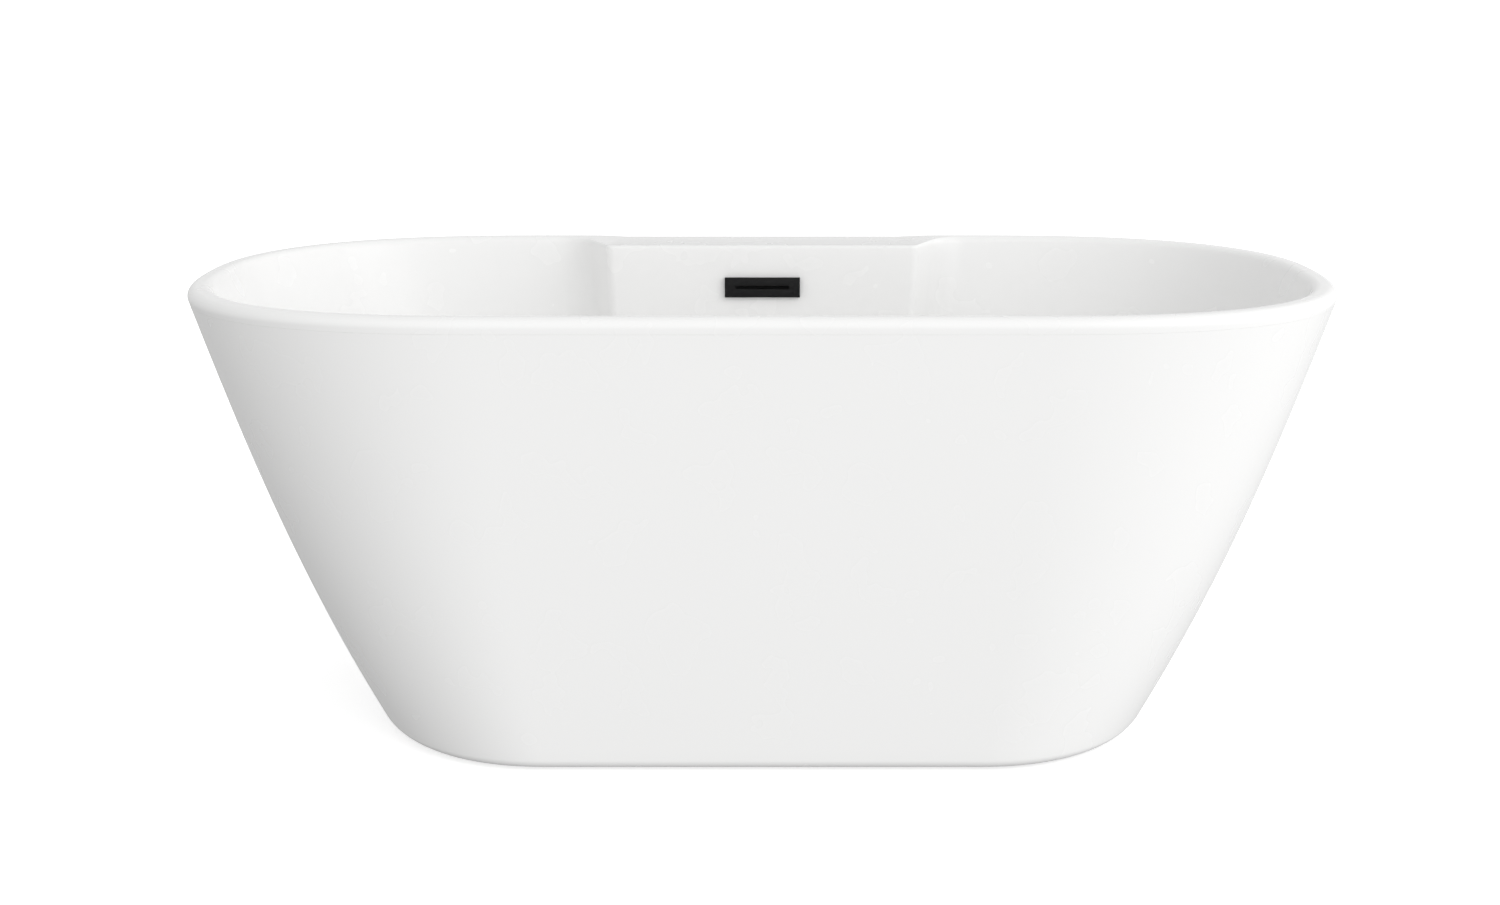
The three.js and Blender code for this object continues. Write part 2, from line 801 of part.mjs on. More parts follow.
function wasteShoe() {
  const seatTop = floorUnder - gasketHeight - 2 * gap;
  const coneFoot = 60;
  const coneHeight = 6;
  const flange = 3;
  const body = turned([
    [outletBore, outletFoot],
    [outletRadius, outletFoot],
    [outletRadius, coneFoot],
    [wasteRadius, coneFoot + coneHeight],
    [wasteRadius, seatTop - flange - 1],
    [shoeFlangeRadius, seatTop - flange],
    [shoeFlangeRadius, seatTop],
    [wasteBore, seatTop],
    [wasteBore, coneFoot + coneHeight + 2],
    [outletBore, coneFoot + 2],
  ]);
  const spigot = rod(spigotRadius, wasteBore + 1, inletReach).translate(0, 0, pipeLevel);
  const bore = rod(spigotBore, wasteBore - 3, inletReach + 2).translate(0, 0, pipeLevel);
  return cutFrom(joinAll([body, spigot]), [bore]);
}

// A nut that holds a pipe in a spigot. It stands on Z with its lip down, the spigot's mouth at 0.
function slipNut(mouthRadius, tubeRadius) {
  const outer = mouthRadius + 5;
  const reach = 10;
  const lip = 8;
  const lipInside = -lip + 3;
  const bore = mouthRadius + threadGap;
  const lipBore = tubeRadius + 0.5;
  const barrel = turned([
    [lipBore, -lip],
    [outer - 1, -lip],
    [outer, -lip + 1],
    [outer, reach],
    [bore, reach],
    [bore, lipInside],
    [lipBore, lipInside],
  ]);
  const ribCount = 8;
  const ribLength = reach + lip - 3;
  const ribs = [];
  for (let rib = 0; rib < ribCount; rib += 1) {
    const turn = (rib * 2 * Math.PI) / ribCount;
    ribs.push(boxAt(2.4, 3, ribLength, outer + 0.4, 0, 1).rotateZ(turn));
  }
  return joinAll([barrel, ...ribs]);
}

function addWaste() {
  const waste = new THREE.Group();
  waste.position.set(0, drainY, 0);
  tub.add(waste);
  const tailRadius = outletBore - 0.4;
  const gasketTop = floorUnder - gap;
  const gasket = washerRing(wasteBore, shoeFlangeRadius, gasketTop - gasketHeight, gasketTop);
  const seal = washerRing(21.5, 28, sealLow, capLow - gap);
  const tailpiece = washerRing(tailRadius - tailpieceWall, tailRadius, tailpieceFoot, tailpieceTop);
  addPiece("drain_flange", drainFlange(), blackMetal, waste);
  addPiece("drain_gasket", gasket, blackRubber, waste);
  addPiece("waste_shoe", wasteShoe(), greyPlastic, waste);
  const tailNut = slipNut(outletRadius, tailRadius).translate(0, 0, outletFoot);
  addPiece("tail_nut", tailNut, greyPlastic, waste);
  const washer = washerRing(tailRadius + gap, outletRadius, outletFoot - 4.5, outletFoot - gap);
  addPiece("tail_washer", washer, blackRubber, waste);
  addPiece("tailpiece", tailpiece, greyPlastic, waste);
  addPiece("plug_sleeve", plugSleeve(), brass, waste);
  addPiece("plug_spring", plugSpring(), zincSteel, waste);
  addPiece("plug_plunger", plugPlunger(), brass, waste);
  addPiece("plug_seal", seal, blackRubber, waste);
  addPiece("plug_cap", plugCap(), blackMetal, waste);
}

// Overflow. In its group the deck's face is y = 0 and the bath is on the -Y side.

const plateSize = { width: 104, height: 23.5, depth: 2.5 };
const bodySize = { width: 108, depth: 50, height: 34 };
const bodyFront = shellWall + 2 + 3 * gap;
const spigotDrop = 24;
const screwReach = 16; // how far a screw goes into the overflow's body
const spigotY = bodyFront + bodySize.depth / 2;

function overflowCover() {
  const wall = 1.6;
  const { width, height, depth } = coverSize;
  const outside = boxAt(width, depth, height, 0, -gap - depth / 2, 0);
  const inside = boxAt(width - 2 * wall, depth, height - 2 * wall, 0, -gap - depth / 2 + wall, 0);
  const slot = boxAt(coverSlot.width, 3 * depth, coverSlot.height, 0, 0, 0);
  return cutFrom(outside, [inside, slot]);
}

function overflowPlate() {
  const y = -gap - plateSize.depth / 2;
  const plate = boxAt(plateSize.width, plateSize.depth, plateSize.height, 0, y, 0);
  const window = boxAt(wallSlot.width, 3 * plateSize.depth, wallSlot.height, 0, y, 0);
  return cutFrom(plate, [window, ...screwHoles(screwHole, -8, 2)]);
}

function overflowScrew() {
  const headRadius = 3.4;
  const headHeight = 1.7;
  const seat = -gap - plateSize.depth - gap;
  const head = rod(headRadius, seat - headHeight, seat);
  return joinAll([head, rod(screwShank, seat - 0.5, bodyFront + screwReach)]);
}

function overflowGasket() {
  const depth = 2;
  const y = shellWall + gap + depth / 2;
  const ring = boxAt(bodySize.width, depth, 28, 0, y, 0);
  const window = boxAt(wallSlot.width + 2, 3 * depth, wallSlot.height + 2, 0, y, 0);
  return cutFrom(ring, [window, ...screwHoles(screwHole, 0, 12)]);
}

function overflowBody() {
  const wall = 2.5;
  const { width, depth, height } = bodySize;
  const outside = boxAt(width, depth, height, 0, spigotY, 0);
  const spigot = post(spigotRadius, -height / 2 - spigotDrop, -height / 2 + 1).translate(0, spigotY, 0);
  const inside = boxAt(wallSlot.width, depth - 2 * wall, height - 2 * wall, 0, spigotY, 0);
  const mouth = boxAt(wallSlot.width, depth, wallSlot.height, 0, bodyFront, 0);
  const bore = post(spigotBore, -height - spigotDrop, 0).translate(0, spigotY, 0);
  const holes = screwHoles(screwShank + threadGap, bodyFront - 1, bodyFront + screwReach + 2);
  return cutFrom(joinAll([outside, spigot]), [inside, mouth, bore, ...holes]);
}

// The pipe runs down beside the deck's wall, then bends forward and goes in under the rail.
function overflowPipe() {
  const mouth = new THREE.Vector3(0, spigotY, -bodySize.height / 2 - spigotDrop);
  mouth.applyMatrix4(overflowGroup.matrix);
  const down = new THREE.Vector3(0, -Math.sin(faceLean), -Math.cos(faceLean));
  const start = mouth.clone().addScaledVector(down, -spigotGrip);
  const corner = mouth.clone().addScaledVector(down, (mouth.z - pipeLevel) / Math.cos(faceLean));
  const bend = 56;
  const beforeBend = corner.clone().addScaledVector(down, -bend);
  const afterBend = corner.clone().add(new THREE.Vector3(0, -bend, 0));
  const end = new THREE.Vector3(0, drainY + inletReach - inletGrip, pipeLevel);
  const extrudePath = new THREE.CurvePath();
  extrudePath.add(new THREE.LineCurve3(start, beforeBend));
  extrudePath.add(new THREE.QuadraticBezierCurve3(beforeBend, corner, afterBend));
  extrudePath.add(new THREE.LineCurve3(afterBend, end));
  const section = new THREE.Shape().absarc(0, 0, pipeRadius, 0, Math.PI * 2);
  section.holes.push(circlePath(pipeBore));
  const options = { steps: 30, curveSegments: 5, bevelEnabled: false, extrudePath };
  return new THREE.ExtrudeGeometry(section, options);
}

function addOverflow() {
  addPiece("overflow_cover", overflowCover(), blackMetal, overflowGroup);
  addPiece("overflow_plate", overflowPlate(), blackPlastic, overflowGroup);
  for (const [endName, end] of [["left", -1], ["right", 1]]) {
    const screw = overflowScrew().translate(end * overflowScrewX, 0, 0);
    addPiece("overflow_screw_" + endName, screw, zincSteel, overflowGroup);
  }
  addPiece("overflow_gasket", overflowGasket(), blackRubber, overflowGroup);
  addPiece("overflow_body", overflowBody(), blackPlastic, overflowGroup);
  addPiece("overflow_pipe", overflowPipe(), greyPlastic);
  const upperNut = slipNut(spigotRadius, pipeRadius);
  upperNut.translate(0, spigotY, -bodySize.height / 2 - spigotDrop);
  addPiece("pipe_nut_upper", upperNut, blackPlastic, overflowGroup);
  const lowerNut = slipNut(spigotRadius, pipeRadius).rotateX(Math.PI / 2);
  lowerNut.translate(0, drainY + inletReach, pipeLevel);
  addPiece("pipe_nut_lower", lowerNut, greyPlastic);
}

addBasin();
addPiece("skirt", skirtShell(), acrylic);
addFrame();
addFeet();
addWaste();
addOverflow();

export default tub;
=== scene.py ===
import json
import math

import bmesh
import bpy
import numpy as np
from mathutils import Matrix, Vector


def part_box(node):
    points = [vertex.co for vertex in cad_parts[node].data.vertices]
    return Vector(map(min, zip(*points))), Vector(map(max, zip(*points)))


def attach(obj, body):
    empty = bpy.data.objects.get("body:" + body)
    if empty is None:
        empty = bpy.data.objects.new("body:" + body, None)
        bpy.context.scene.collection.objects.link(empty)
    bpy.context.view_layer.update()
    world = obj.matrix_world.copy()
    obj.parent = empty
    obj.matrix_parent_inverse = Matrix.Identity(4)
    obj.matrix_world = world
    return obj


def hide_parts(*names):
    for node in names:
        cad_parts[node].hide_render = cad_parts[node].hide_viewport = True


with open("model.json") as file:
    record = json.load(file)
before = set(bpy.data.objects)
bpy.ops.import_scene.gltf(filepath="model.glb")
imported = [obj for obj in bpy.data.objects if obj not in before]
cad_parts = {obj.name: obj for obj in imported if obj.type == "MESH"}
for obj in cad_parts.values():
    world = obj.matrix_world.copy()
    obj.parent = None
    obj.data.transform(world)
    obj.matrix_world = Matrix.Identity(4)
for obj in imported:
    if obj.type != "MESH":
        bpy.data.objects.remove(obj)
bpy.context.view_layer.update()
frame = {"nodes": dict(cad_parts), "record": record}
mm = 0.001  # pieces are worked out in millimetres and made in metres

for scene in bpy.data.scenes:
    scene.unit_settings.system = "METRIC"
scene = bpy.context.scene
print("frame loaded:", len(frame["nodes"]), "nodes")


# Shader maths. A Wire is a socket that takes part in Python expressions.
class Wire:
    def __init__(self, graph, socket):
        self.graph = graph
        self.socket = socket

    def maths(self, operation, first, second):
        return self.graph.make("ShaderNodeMath", {"operation": operation}, {0: first, 1: second})

    def __add__(self, other):
        return self.maths("ADD", self, other)

    def __radd__(self, other):
        return self.maths("ADD", other, self)

    def __rsub__(self, other):
        return self.maths("SUBTRACT", other, self)

    def __mul__(self, other):
        return self.maths("MULTIPLY", self, other)

    def __rmul__(self, other):
        return self.maths("MULTIPLY", other, self)

    def __pow__(self, other):
        return self.maths("POWER", self, other)


# A node tree under construction: one method makes every node and links its sockets.
class Graph:
    def __init__(self, tree):
        self.tree = tree

    def make(self, kind, settings, values, output=0):
        node = self.tree.nodes.new(kind)
        for name, value in settings.items():
            if name == "stops":
                self.setStops(node.color_ramp, value)
            else:
                setattr(node, name, value)
        for name, value in values.items():
            self.feed(node.inputs[name], value)
        return Wire(self, node.outputs[output]) if output is not None else node

    def setStops(self, ramp, stops):
        while len(ramp.elements) < len(stops):
            ramp.elements.new(0.5)
        for element, (position, level) in zip(ramp.elements, stops):
            element.position = position
            element.color = (level, level, level, 1)

    def feed(self, socket, value):
        if isinstance(value, Wire):
            self.tree.links.new(value.socket, socket)
        else:
            socket.default_value = value


# A material: its shader and the place of each point in metres.
class Finish(Graph):
    def __init__(self, name):
        self.material = bpy.data.materials.new(name)
        self.material.use_nodes = True
        super().__init__(self.material.node_tree)
        self.shader = self.tree.nodes["Principled BSDF"]
        self.place = self.make("ShaderNodeTexCoord", {}, {}, "Object")

    def set(self, values):
        for name, value in values.items():
            self.feed(self.shader.inputs[name], value)
        return self

    def noise(self, scale, detail=3.0, roughness=0.5, place=None):
        values = {"Vector": place or self.place, "Scale": scale, "Detail": detail, "Roughness": roughness}
        return self.make("ShaderNodeTexNoise", {}, values, "Fac")

    def stretched(self, scale):
        return self.make("ShaderNodeMapping", {}, {"Vector": self.place, "Scale": scale})

    def ramp(self, value, stops):
        return self.make("ShaderNodeValToRGB", {"stops": stops}, {"Fac": value}, "Color")

    def mixColour(self, factor, first, second):
        values = {0: factor, 6: first, 7: second}
        return self.make("ShaderNodeMix", {"data_type": "RGBA"}, values, 2)

    def bump(self, height, strength, distance):
        values = {"Height": height, "Strength": strength, "Distance": distance}
        return self.make("ShaderNodeBump", {}, values)


def whiteAcrylic():
    acrylic = {
        "white": (0.905, 0.905, 0.9, 1), "shade": (0.901, 0.901, 0.895, 1),
        "gloss": 0.25, "unevenness": 0.04, "ripple": 0.00012,
    }
    finish = Finish("whiteAcrylic")
    cloud = finish.noise(5.0, 1.0)
    finish.set({
        "Base Color": finish.mixColour(cloud, acrylic["shade"], acrylic["white"]),
        "Roughness": acrylic["gloss"] + acrylic["unevenness"] * finish.noise(14.0, 2.0),
        "Normal": finish.bump(cloud, 0.3, acrylic["ripple"]),
        "IOR": 1.49,
        "Coat Weight": 0.08,
        "Coat Roughness": 0.16,
    })
    return finish.material


def fibreglassBack():
    backing = {"resin": (0.62, 0.58, 0.47, 1), "fibre": (0.78, 0.76, 0.68, 1)}
    finish = Finish("fibreglassBack")
    strands = finish.noise(180.0, 6.0, 0.7)
    showing = finish.ramp(strands, [(0.42, 0), (0.6, 1)])
    patches = finish.noise(22.0, 3.0)
    finish.set({
        "Base Color": finish.mixColour(showing, backing["resin"], backing["fibre"]),
        "Roughness": 0.45 + 0.35 * patches,
        "Normal": finish.bump(strands + patches, 0.5, 0.0015),
    })
    return finish.material


def mattBlack():
    coat = {"black": (0.005, 0.005, 0.0052, 1), "worn": (0.008, 0.008, 0.0083, 1)}
    finish = Finish("mattBlack")
    grain = finish.noise(1400.0, 3.0)
    cloud = finish.noise(60.0, 2.0)
    finish.set({
        "Base Color": finish.mixColour(cloud, coat["black"], coat["worn"]),
        "Roughness": 0.4 + 0.12 * cloud,
        "Normal": finish.bump(grain, 0.12, 0.0001),
        "Specular IOR Level": 0.18,
    })
    return finish.material


def mouldedPlastic(name, dark, light, gloss):
    finish = Finish(name)
    grain = finish.noise(900.0, 2.0)
    flow = finish.noise(35.0, 3.0)
    finish.set({
        "Base Color": finish.mixColour(flow, dark, light),
        "Roughness": gloss + 0.14 * flow,
        "Normal": finish.bump(grain, 0.2, 0.00015),
    })
    return finish.material


def zincPlate():
    plating = {"bright": (0.66, 0.67, 0.68, 1), "dull": (0.47, 0.48, 0.5, 1)}
    finish = Finish("zincPlate")
    spangle = finish.noise(90.0, 4.0, 0.6)
    flakes = finish.ramp(spangle, [(0.35, 0), (0.65, 1)])
    streak = finish.noise(30.0, 2.0, place=finish.stretched((1.0, 1.0, 12.0)))
    finish.set({
        "Base Color": finish.mixColour(flakes, plating["dull"], plating["bright"]),
        "Metallic": 0.95,
        "Roughness": 0.26 + 0.2 * streak,
        "Normal": finish.bump(spangle, 0.15, 0.0001),
    })
    return finish.material


def powderCoat():
    coat = {"deep": (0.03, 0.031, 0.033, 1), "light": (0.05, 0.052, 0.055, 1)}
    finish = Finish("powderCoat")
    pebble = finish.make("ShaderNodeTexVoronoi", {}, {"Vector": finish.place, "Scale": 700.0}, "Distance")
    cloud = finish.noise(18.0, 3.0)
    finish.set({
        "Base Color": finish.mixColour(cloud, coat["deep"], coat["light"]),
        "Roughness": 0.42 + 0.12 * cloud,
        "Normal": finish.bump(pebble, 0.25, 0.0002),
    })
    return finish.material


def resinBoard():
    board = {"dark": (0.36, 0.27, 0.16, 1), "pale": (0.6, 0.5, 0.34, 1), "resin": (0.66, 0.62, 0.5, 1)}
    finish = Finish("resinBoard")
    grain = finish.noise(9.0, 6.0, 0.65, finish.stretched((1.0, 14.0, 30.0)))
    patches = finish.ramp(finish.noise(6.0, 3.0), [(0.45, 0), (0.6, 1)])
    wood = finish.mixColour(finish.ramp(grain, [(0.3, 0), (0.7, 1)]), board["dark"], board["pale"])
    finish.set({
        "Base Color": finish.mixColour(patches * 0.6, wood, board["resin"]),
        "Roughness": 0.75 - 0.3 * patches,
        "Normal": finish.bump(grain, 0.35, 0.0008),
    })
    return finish.material


def softRubber(name, level, gloss):
    finish = Finish(name)
    bloom = finish.noise(50.0, 4.0)
    fine = finish.noise(1200.0, 2.0)
    dark = (level, level, level, 1)
    light = (level * 1.7, level * 1.7, level * 1.65, 1)
    finish.set({
        "Base Color": finish.mixColour(bloom, dark, light),
        "Roughness": gloss + 0.15 * bloom,
        "Normal": finish.bump(fine, 0.25, 0.0002),
    })
    return finish.material


def turnedBrass():
    metal = {"warm": (0.62, 0.44, 0.18, 1), "pale": (0.78, 0.62, 0.34, 1)}
    finish = Finish("turnedBrass")
    rings = finish.noise(60.0, 3.0, place=finish.stretched((0.4, 0.4, 40.0)))
    finish.set({
        "Base Color": finish.mixColour(rings, metal["warm"], metal["pale"]),
        "Metallic": 1.0,
        "Roughness": 0.2 + 0.2 * rings,
        "Normal": finish.bump(rings, 0.15, 0.0001),
    })
    return finish.material


finishes = {
    "white_acrylic": whiteAcrylic(),
    "resin_board": resinBoard(),
    "painted_steel": powderCoat(),
    "zinc_steel": zincPlate(),
    "black_plastic": mouldedPlastic("blackPlastic", (0.018, 0.018, 0.019, 1), (0.03, 0.03, 0.031, 1), 0.38),
    "grey_plastic": mouldedPlastic("greyPlastic", (0.3, 0.31, 0.32, 1), (0.37, 0.38, 0.39, 1), 0.36),
    "black_metal": mattBlack(),
    "rubber_pad": softRubber("padRubber", 0.016, 0.62),
    "seal_rubber": softRubber("sealRubber", 0.02, 0.5),
    "brass": turnedBrass(),
}
backing = fibreglassBack()
nodeSlots = {part["node"]: part["material_slot"] for part in frame["record"]["subparts"]}
nodeBodies = {
    node: body for body, nodes in frame["record"]["behaviour"]["bodies"].items() for node in nodes
}
print("finishes made:", len(finishes) + 1)


# Mesh tools
def makeMesh(name, points, faces, materials, smoothAngle=32, backFrom=None):
    mesh = bpy.data.meshes.new(name)
    mesh.from_pydata((np.asarray(points, float) * mm).tolist(), [], faces)
    for material in materials:
        mesh.materials.append(material)
    if backFrom is not None:
        indices = [1 if face >= backFrom else 0 for face in range(len(mesh.polygons))]
        mesh.polygons.foreach_set("material_index", indices)
    mesh.shade_smooth()
    mesh.set_sharp_from_angle(angle=math.radians(smoothAngle))
    mesh.validate()
    piece = bpy.data.objects.new(name, mesh)
    scene.collection.objects.link(piece)
    return piece


def standFor(piece, node):
    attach(piece, nodeBodies[node])
    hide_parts(node)
    return piece


# Faces of a skin over rings of points, joined round each ring and from the last ring to the first.
def loftFaces(rows, around):
    faces = []
    for row in range(rows):
        nextRow = (row + 1) % rows
        for column in range(around):
            nextColumn = (column + 1) % around
            faces.append((
                row * around + column, row * around + nextColumn,
                nextRow * around + nextColumn, nextRow * around + column,
            ))
    return faces


def smoothStep(share):
    return share * share * (3 - 2 * share)


def mix(first, second, share):
    return first + (second - first) * share


# The plan outlines of the shells: straight-sided ovals with superelliptic ends.
shell = {
    "rim": {"length": 750, "width": 375, "reach": 429, "power": 2.48},
    "foot": {"length": 520, "width": 329, "reach": 249, "power": 2.2},
    "lift": 3, "lean": 0.79, "curve": 2.8, "rimRadius": 12, "rimWidth": 28, "wall": 5,
    "footRadius": 13, "footFlange": 30, "topFlange": 17, "lipDrop": 7, "seam": 0.08,
}
shell["height"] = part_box("basin")[1].z / mm
shell["rimLevel"] = shell["height"] - shell["rimRadius"]
shell["lipFoot"] = shell["rimLevel"] - shell["lipDrop"]

basin = {
    "floor": 147, "floorRadius": 75,
    "floorLine": {"length": 545, "width": 268, "reach": 265, "power": 2.25},
    "deckDepth": (87, 46), "deckInner": (217, 195), "deckDip": 1.8, "deckEdge": 7, "skinShift": 3,
    "deckCorner": 14, "deckFillet": 60, "deckSide": math.radians(62),
    "padRadius": 42, "padDrop": 3, "holeRadius": 26,
}
drainMiddle = (Vector(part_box("drain_flange")[0]) + Vector(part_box("drain_flange")[1])) / 2
basin["drainY"] = drainMiddle.y / mm


def insetLine(line, distance):
    return {
        "length": line["length"] - distance, "width": line["width"] - distance,
        "reach": line["reach"] - distance, "power": line["power"],
    }


def mixLines(top, foot, taper, depth):
    return {
        "length": mix(top["length"], foot["length"], taper), "width": mix(top["width"], foot["width"], taper),
        "reach": mix(top["reach"], foot["reach"], depth), "power": mix(top["power"], foot["power"], depth),
    }


def shellLine(z):
    depth = (shell["rimLevel"] - z) / (shell["rimLevel"] - shell["lift"])
    curve = np.sign(depth) * np.abs(depth) ** shell["curve"]
    return mixLines(shell["rim"], shell["foot"], shell["lean"] * depth + (1 - shell["lean"]) * curve, depth)


def basinDepth(z):
    return (shell["height"] - z) / (shell["height"] - basin["floor"])


def basinLine(z):
    depth = basinDepth(z)
    return mixLines(insetLine(shell["rim"], shell["rimWidth"]), basin["floorLine"], depth, depth)


# Along the deck's side: a rounded corner, a straight slope and a wide fillet into the tub's wall.
# Gives how far along the tub a share of it reaches, and how far it has fallen back.
def deckSide(reach, share):
    corner, fillet, angle = basin["deckCorner"], basin["deckFillet"], basin["deckSide"]
    sin, cos = math.sin(angle), math.cos(angle)
    slope = (reach - (corner + fillet) * (1 - cos)) / math.tan(angle)
    length = (corner + fillet) * sin + slope
    run = length * share
    left = length - run
    rounding = corner - np.sqrt(np.maximum(corner ** 2 - run ** 2, 0))
    straight = corner * (1 - cos) + (run - corner * sin) * math.tan(angle)
    flaring = reach - fillet + np.sqrt(np.maximum(fillet ** 2 - left ** 2, 0))
    return run, np.select([run < corner * sin, left > fillet * sin], [rounding, straight], flaring)


# Stations round an outline, counter-clockwise from the front of the right end.
class Stations:
    def __init__(self, endSteps, sideSteps, flatSteps, frontSteps):
        ends = np.linspace(-math.pi / 2, math.pi / 2, endSteps + 1)
        side = np.linspace(1, 0, sideSteps, endpoint=False)
        flat = np.linspace(1, 0, flatSteps + 1)
        half = [(1, b) for b in side] + [(f, 0) for f in flat]
        sides = [(1, f, b) for f, b in half] + [(-1, f, b) for f, b in half[-2::-1]]
        front = np.linspace(-1, 1, frontSteps + 1)[1:-1]
        rows = [("end", 1, a, 0) for a in ends] + [("deck", *side) for side in sides]
        rows += [("end", -1, a, 0) for a in -ends] + [("front", f, 0, 0) for f in front]
        self.kind = np.array([row[0] for row in rows])
        self.a, self.b, self.c = (np.array([row[at] for row in rows], float) for at in (1, 2, 3))
        self.count = len(rows)
        reach = basin["deckDepth"][0]
        self.deckShare = np.where(self.kind == "deck", 1 - deckSide(reach, self.c)[1] / reach, 0.0)

    def points(self, line, deck=(0, 200), z=0.0):
        reach, inner = deck
        straight = line["length"] - line["reach"]
        bend = 2 / line["power"]
        cos, sin = np.abs(np.cos(self.b)), np.sin(self.b)
        cos[cos < 1e-9] = 0
        endX = self.a * (straight + line["reach"] * cos ** bend)
        endY = np.sign(sin) * line["width"] * np.abs(sin) ** bend
        run, fall = deckSide(np.maximum(reach, basin["deckDepth"][1]), self.c)
        deckX = self.a * (inner * self.b + run)
        deckY = line["width"] - np.where(np.asarray(reach) > 0, reach - fall, 0)
        x = np.select([self.kind == "end", self.kind == "deck"], [endX, deckX], self.a * straight)
        y = np.select([self.kind == "end", self.kind == "deck"], [endY, deckY], -line["width"])
        return np.column_stack([x, y, np.broadcast_to(z, self.count)])


# How far a wall leans from upright at each station, from its outline at two heights.
def leanOf(upper, lower, rise):
    return np.arctan(np.linalg.norm((upper - lower)[:, :2], axis=1) / rise)


def deckAt(z, skin=0):
    depth = basinDepth(z)
    inner = mix(*basin["deckInner"], depth) - skin * basin["skinShift"] / shell["wall"]
    return mix(*basin["deckDepth"], depth), inner


# The wall under the rim runs into its rounding with no crease, so it stands this much further out.
def tangentShift(lean, z):
    share = (z - shell["lift"]) / (shell["rimLevel"] - shell["lift"])
    return shell["rimRadius"] * (1 / np.cos(lean) - 1) * share


def makeBasin():
    stations = Stations(128, 44, 14, 36)
    share = stations.deckShare
    wall, radius, top = shell["wall"], shell["rimRadius"], shell["height"]
    plan = stations.points
    outerLean = leanOf(plan(shell["rim"]), plan(shellLine(shell["rimLevel"] - 10)), 10)

    def rimRing(inset, z, dip):
        return plan(insetLine(shell["rim"], inset), z=z - basin["deckDip"] * share * dip)

    # From the tangent with the leaning wall over the top of the rim.
    def overRim(step):
        angle = mix(-outerLean, math.pi / 2, step)
        rise = radius * (1 - np.sin(angle))
        return rimRing(radius * (1 - np.cos(angle)), top - rise, np.maximum(np.sin(angle), 0))

    def lipRing(z, inset=0):
        return plan(insetLine(shellLine(z), inset - tangentShift(outerLean, z)), z=z)

    def wallRing(z, inset=0, skin=0, at=None):
        level = z if at is None else at
        return plan(insetLine(basinLine(level), inset - skin), deckAt(level, skin), z)

    # The inner edge is rounder along the plain rim than along the deck. It meets the wall at its lean.
    innerLean = leanOf(wallRing(top), wallRing(top - 20), 20)
    edge = mix(radius, basin["deckEdge"], share)
    tangent = top - edge * (1 - np.sin(innerLean))

    def innerEdge(step):
        angle = step * (math.pi / 2 - innerLean)
        out = edge * (np.cos(innerLean) - np.sin(angle))
        dip = basin["deckDip"] * share * (1 - step)
        z = top - edge * (1 - np.cos(angle)) - dip
        return plan(insetLine(basinLine(tangent), -out), deckAt(tangent), z)

    def fillet(skin, steps):
        centre, around = basin["floor"] + basin["floorRadius"], basin["floorRadius"] + skin
        rings = []
        for angle in np.linspace(0, math.pi / 2, steps)[1:]:
            z = centre - around * math.sin(angle)
            rings.append(wallRing(z, around * (1 - math.cos(angle)), skin, max(z, basin["floor"])))
        return rings

    bearingLine = insetLine(basin["floorLine"], basin["floorRadius"])
    edgePlan = plan(bearingLine, (0, deckAt(basin["floor"])[1]))
    bearings = np.arctan2(edgePlan[:, 1] - basin["drainY"], edgePlan[:, 0])

    def drainRing(around, z):
        x, y = around * np.cos(bearings), basin["drainY"] + around * np.sin(bearings)
        return np.column_stack([x, y, np.full(stations.count, float(z))])

    def floor(outer, z, steps):
        pad = drainRing(basin["padRadius"], z)
        rings = []
        for step in np.linspace(0, 1, steps)[1:]:
            ring = mix(outer, pad, step)
            ring[:, 2] = mix(outer[:, 2], z, smoothStep(step))
            rings.append(ring)
        return rings

    wallFoot = basin["floor"] + basin["floorRadius"]
    steps = np.linspace(0, 1, 15)
    floorTop, floorUnder = basin["floor"] - basin["padDrop"], basin["floor"] - basin["padDrop"] - wall
    hole = basin["holeRadius"]
    outside = [lipRing(shell["lipFoot"])] + [overRim(step) for step in steps]
    inside = [innerEdge(step) for step in steps]
    inside += [wallRing(mix(tangent, wallFoot, step)) for step in np.linspace(0, 1, 26)[1:]]
    inside += fillet(0, 22)
    inside += floor(inside[-1], floorTop, 14)
    inside += [drainRing(hole + 1.5, floorTop), drainRing(hole, floorTop - 1)]
    under = fillet(wall, 12)
    underFloor = floor(under[-1], floorUnder, 6) + [drainRing(hole, floorUnder)]
    back = underFloor[::-1] + under[::-1]
    back += [wallRing(z, skin=wall) for z in np.linspace(wallFoot, top - radius, 9)]
    inner = radius - wall
    hollow = [
        rimRing(wall + inner * (1 - math.cos(a)), top - wall - inner * (1 - math.sin(a)), math.sin(a))
        for a in np.linspace(math.pi / 2, 0, 5)
    ]
    rimBack = plan(insetLine(basinLine(top - radius), -wall), deckAt(top - radius, wall))
    rimBack[:, 2] = top - wall - basin["deckDip"] * share
    rings = outside + inside + back + [rimBack] + hollow + [lipRing(shell["lipFoot"], wall)]
    faces = loftFaces(len(rings), stations.count)
    backFrom = (len(outside) + len(inside)) * stations.count
    finish = [finishes["white_acrylic"], backing]
    return makeMesh("basinShell", np.concatenate(rings), faces, finish, 30, backFrom)


def cutPiece(piece, cutters):
    for cutter in cutters:
        cut = piece.modifiers.new("cut", "BOOLEAN")
        cut.operation = "DIFFERENCE"
        cut.solver = "EXACT"
        cut.object = cutter
    solid = bpy.data.meshes.new_from_object(piece.evaluated_get(bpy.context.evaluated_depsgraph_get()))
    piece.modifiers.clear()
    piece.data = solid
    for cutter in cutters:
        bpy.data.objects.remove(cutter)
    return piece


